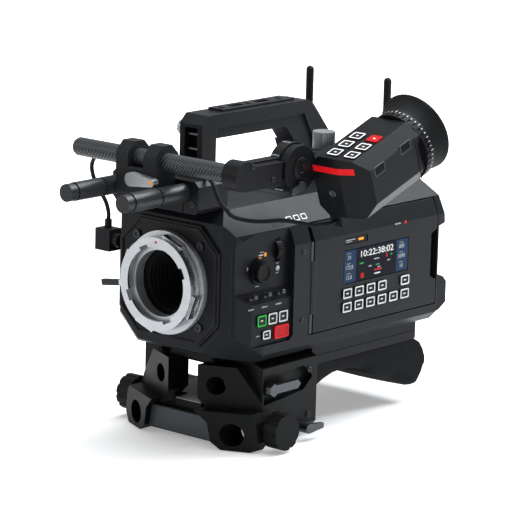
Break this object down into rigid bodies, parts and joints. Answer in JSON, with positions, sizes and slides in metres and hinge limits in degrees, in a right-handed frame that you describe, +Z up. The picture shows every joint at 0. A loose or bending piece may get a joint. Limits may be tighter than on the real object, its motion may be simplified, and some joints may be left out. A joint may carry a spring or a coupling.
{
  "type": "digital cinema camera",
  "caption": "Box-shaped cinema camera with lens locking ring, fold-out display, top handle, carbon rods, tilting side viewfinder and shoulder base.",
  "frame": {"origin": "centre of the lens flange's seat, on the optical axis", "axes": "+Z up, the lens looks along -Y, +X is the operator's side with the display"},
  "size_m": [0.2563, 0.37, 0.2865],
  "materials": {
    "body_paint": "fine satin, near-black grey",
    "plate_paint": "satin black",
    "panel_paint": "matte black",
    "finder_paint": "satin black",
    "base_paint": "matte black",
    "clamp_paint": "satin dark grey",
    "mount_steel": "turned",
    "ring_steel": "polished",
    "screw_steel": "blackened",
    "lever_metal": "satin anodised",
    "toggle_metal": "satin",
    "deck_metal": "milled",
    "carbon": "woven carbon fibre under clear lacquer",
    "knob_black": "matte",
    "key_black": "matte with a white rim",
    "key_green": "lit green",
    "key_red": "lit red",
    "black_plastic": "matte",
    "rubber_black": "soft matte",
    "pad_rubber": "soft foam, matte",
    "screen_blue": "lit display under flush glass",
    "screen_black": "dark glass",
    "sensor_glass": "coated glass"
  },
  "bodies": {
    "root": {"body_shell": "body_paint", "front_plate": "plate_paint", "front_screws": "screw_steel", "lens_flange": "mount_steel", "sensor_block": "sensor_glass", "control_panel": "panel_paint", "hinge_cover": "body_paint", "hinge_pin": "screw_steel", "rear_module": "panel_paint", "battery_plate": "black_plastic", "antenna_base": "black_plastic", "top_handle": "body_paint", "rod_block": "plate_paint", "tube_clamp": "clamp_paint", "body_plug": "black_plastic", "cord_body": "rubber_black", "quick_plate": "deck_metal"},
    "door": {"display_door": "body_paint", "status_screen": "screen_blue", "touch_screen": "screen_black"},
    "arm": {"cross_tube": "carbon", "elbow_arm": "panel_paint", "cord_end": "rubber_black"},
    "finder": {"finder_bracket": "panel_paint", "finder_housing": "finder_paint", "tally_lamp": "key_red", "eyepiece": "sensor_glass", "eyecup": "rubber_black", "finder_plug": "black_plastic"},
    "base": {"base_frame": "base_paint", "front_bracket": "base_paint", "shoulder_pad": "pad_rubber"},
    "lock_ring": {"lock_ring": "ring_steel"},
    "menu_knob": {"menu_knob": "knob_black"},
    "thumb_wheel": {"thumb_wheel": "knob_black"},
    "toggle_front": {"toggle_front": "toggle_metal"},
    "toggle_middle": {"toggle_middle": "toggle_metal"},
    "toggle_rear": {"toggle_rear": "toggle_metal"},
    "key_power": {"key_power": "key_green"},
    "key_middle": {"key_middle": "key_black"},
    "key_rear": {"key_rear": "key_black"},
    "key_small": {"key_small": "key_black"},
    "record_button": {"record_button": "key_red"},
    "door_keys_upper": {"door_keys_upper": "key_black"},
    "door_keys_lower": {"door_keys_lower": "key_black"},
    "antenna_left": {"antenna_left": "rubber_black"},
    "antenna_right": {"antenna_right": "rubber_black"},
    "handle_knob": {"handle_knob": "lever_metal"},
    "rod_left": {"rod_left": "carbon"},
    "rod_right": {"rod_right": "carbon"},
    "clamp_lever": {"clamp_lever": "lever_metal"},
    "finder_keys": {"finder_keys": "key_black"},
    "finder_red_key": {"finder_red_key": "key_red"},
    "diopter_ring": {"diopter_ring": "black_plastic"},
    "finder_knob": {"finder_knob": "lever_metal"},
    "tilt_lever": {"tilt_lever": "lever_metal"},
    "base_knob_left": {"base_knob_left": "knob_black"},
    "base_knob_right": {"base_knob_right": "knob_black"},
    "side_lever": {"side_lever": "lever_metal"},
    "cam_lever": {"cam_lever": "lever_metal"}
  },
  "joints": [
    {"name": "ring_turn", "type": "hinge", "parent": "root", "child": "lock_ring", "pos_m": [0, 0, 0], "axis": [0, -1, 0], "range_deg": [0, 25]},
    {"name": "menu_turn", "type": "hinge", "parent": "root", "child": "menu_knob", "pos_m": [0.0615, 0.0475, 0.0124], "axis": [1, 0, 0], "continuous": true},
    {"name": "wheel_turn", "type": "hinge", "parent": "root", "child": "thumb_wheel", "pos_m": [0.057, 0.0705, 0.027], "axis": [0, 1, 0], "continuous": true},
    {"name": "toggle_front_flip", "type": "hinge", "parent": "root", "child": "toggle_front", "pos_m": [0.06545, 0.035, -0.00722], "axis": [0, 1, 0], "range_deg": [-20, 20]},
    {"name": "toggle_middle_flip", "type": "hinge", "parent": "root", "child": "toggle_middle", "pos_m": [0.06545, 0.052, -0.00722], "axis": [0, 1, 0], "range_deg": [-20, 20]},
    {"name": "toggle_rear_flip", "type": "hinge", "parent": "root", "child": "toggle_rear", "pos_m": [0.06545, 0.069, -0.00722], "axis": [0, 1, 0], "range_deg": [-20, 20]},
    {"name": "key_power_press", "type": "slide", "parent": "root", "child": "key_power", "axis": [-1, 0, 0], "range_m": [0, 0.0008], "stiffness_N_per_m": 400},
    {"name": "key_middle_press", "type": "slide", "parent": "root", "child": "key_middle", "axis": [-1, 0, 0], "range_m": [0, 0.0008], "stiffness_N_per_m": 400},
    {"name": "key_rear_press", "type": "slide", "parent": "root", "child": "key_rear", "axis": [-1, 0, 0], "range_m": [0, 0.0008], "stiffness_N_per_m": 400},
    {"name": "key_small_press", "type": "slide", "parent": "root", "child": "key_small", "axis": [-1, 0, 0], "range_m": [0, 0.0008], "stiffness_N_per_m": 400},
    {"name": "record_button_press", "type": "slide", "parent": "root", "child": "record_button", "axis": [-1, 0, 0], "range_m": [0, 0.0008], "stiffness_N_per_m": 400},
    {"name": "door_swing", "type": "hinge", "parent": "root", "child": "door", "pos_m": [0.0665, 0.1072, 0], "axis": [0, 0, -1], "range_deg": [0, 100]},
    {"name": "upper_keys_press", "type": "slide", "parent": "door", "child": "door_keys_upper", "axis": [-1, 0, 0], "range_m": [0, 0.0008], "stiffness_N_per_m": 400},
    {"name": "lower_keys_press", "type": "slide", "parent": "door", "child": "door_keys_lower", "axis": [-1, 0, 0], "range_m": [0, 0.0008], "stiffness_N_per_m": 400},
    {"name": "antenna_left_swing", "type": "hinge", "parent": "root", "child": "antenna_left", "pos_m": [-0.042, 0.23, 0.07155], "axis": [0, -1, 0], "range_deg": [-20, 90]},
    {"name": "antenna_right_swing", "type": "hinge", "parent": "root", "child": "antenna_right", "pos_m": [0.042, 0.23, 0.07155], "axis": [0, 1, 0], "range_deg": [-20, 90]},
    {"name": "handle_knob_turn", "type": "hinge", "parent": "root", "child": "handle_knob", "pos_m": [-0.0123, 0.04433, 0.119], "axis": [-1, 0, 0], "continuous": true},
    {"name": "rod_left_slide", "type": "slide", "parent": "root", "child": "rod_left", "axis": [0, -1, 0], "range_m": [-0.015, 0.025]},
    {"name": "rod_right_slide", "type": "slide", "parent": "root", "child": "rod_right", "axis": [0, -1, 0], "range_m": [-0.015, 0.025]},
    {"name": "clamp_lever_swing", "type": "hinge", "parent": "root", "child": "clamp_lever", "pos_m": [0, -0.0315, 0.089], "axis": [0, -1, 0], "range_deg": [0, 60]},
    {"name": "arm_slide", "type": "slide", "parent": "root", "child": "arm", "axis": [1, 0, 0], "range_m": [-0.015, 0.025], "deforming": ["cord_body"]},
    {"name": "finder_tilt", "type": "hinge", "parent": "arm", "child": "finder", "pos_m": [0.1, 0.045, 0.102], "axis": [1, 0, 0], "range_deg": [-20, 70], "deforming": ["cord_end"]},
    {"name": "finder_keys_press", "type": "slide", "parent": "finder", "child": "finder_keys", "axis": [0, 0.342, -0.9397], "range_m": [0, 0.0006], "stiffness_N_per_m": 400},
    {"name": "finder_red_key_press", "type": "slide", "parent": "finder", "child": "finder_red_key", "axis": [0, 0.342, -0.9397], "range_m": [0, 0.0006], "stiffness_N_per_m": 400},
    {"name": "diopter_turn", "type": "hinge", "parent": "finder", "child": "diopter_ring", "pos_m": [0.1296, 0.13727, 0.11164], "axis": [0, 0.9397, 0.342], "range_deg": [-60, 60]},
    {"name": "finder_knob_turn", "type": "hinge", "parent": "arm", "child": "finder_knob", "pos_m": [0.0905, 0.0895, 0.1113], "axis": [0, 0, 1], "continuous": true},
    {"name": "tilt_lever_swing", "type": "hinge", "parent": "finder", "child": "tilt_lever", "pos_m": [0.105, 0.04347, 0.08867], "axis": [1, 0, 0], "range_deg": [-30, 15]},
    {"name": "base_slide", "type": "slide", "parent": "root", "child": "base", "axis": [0, 1, 0], "range_m": [-0.01, 0.02]},
    {"name": "base_knob_left_turn", "type": "hinge", "parent": "base", "child": "base_knob_left", "pos_m": [-0.064, 0.059, -0.115], "axis": [1, 0, 0], "continuous": true},
    {"name": "base_knob_right_turn", "type": "hinge", "parent": "base", "child": "base_knob_right", "pos_m": [0.064, 0.059, -0.117], "axis": [1, 0, 0], "continuous": true},
    {"name": "side_lever_swing", "type": "hinge", "parent": "base", "child": "side_lever", "pos_m": [0.064, 0.0615, -0.086], "axis": [1, 0, 0], "range_deg": [-80, 0]},
    {"name": "cam_lever_swing", "type": "hinge", "parent": "base", "child": "cam_lever", "pos_m": [0.064, 0.1, -0.124], "axis": [1, 0, 0], "range_deg": [0, 90]}
  ]
}
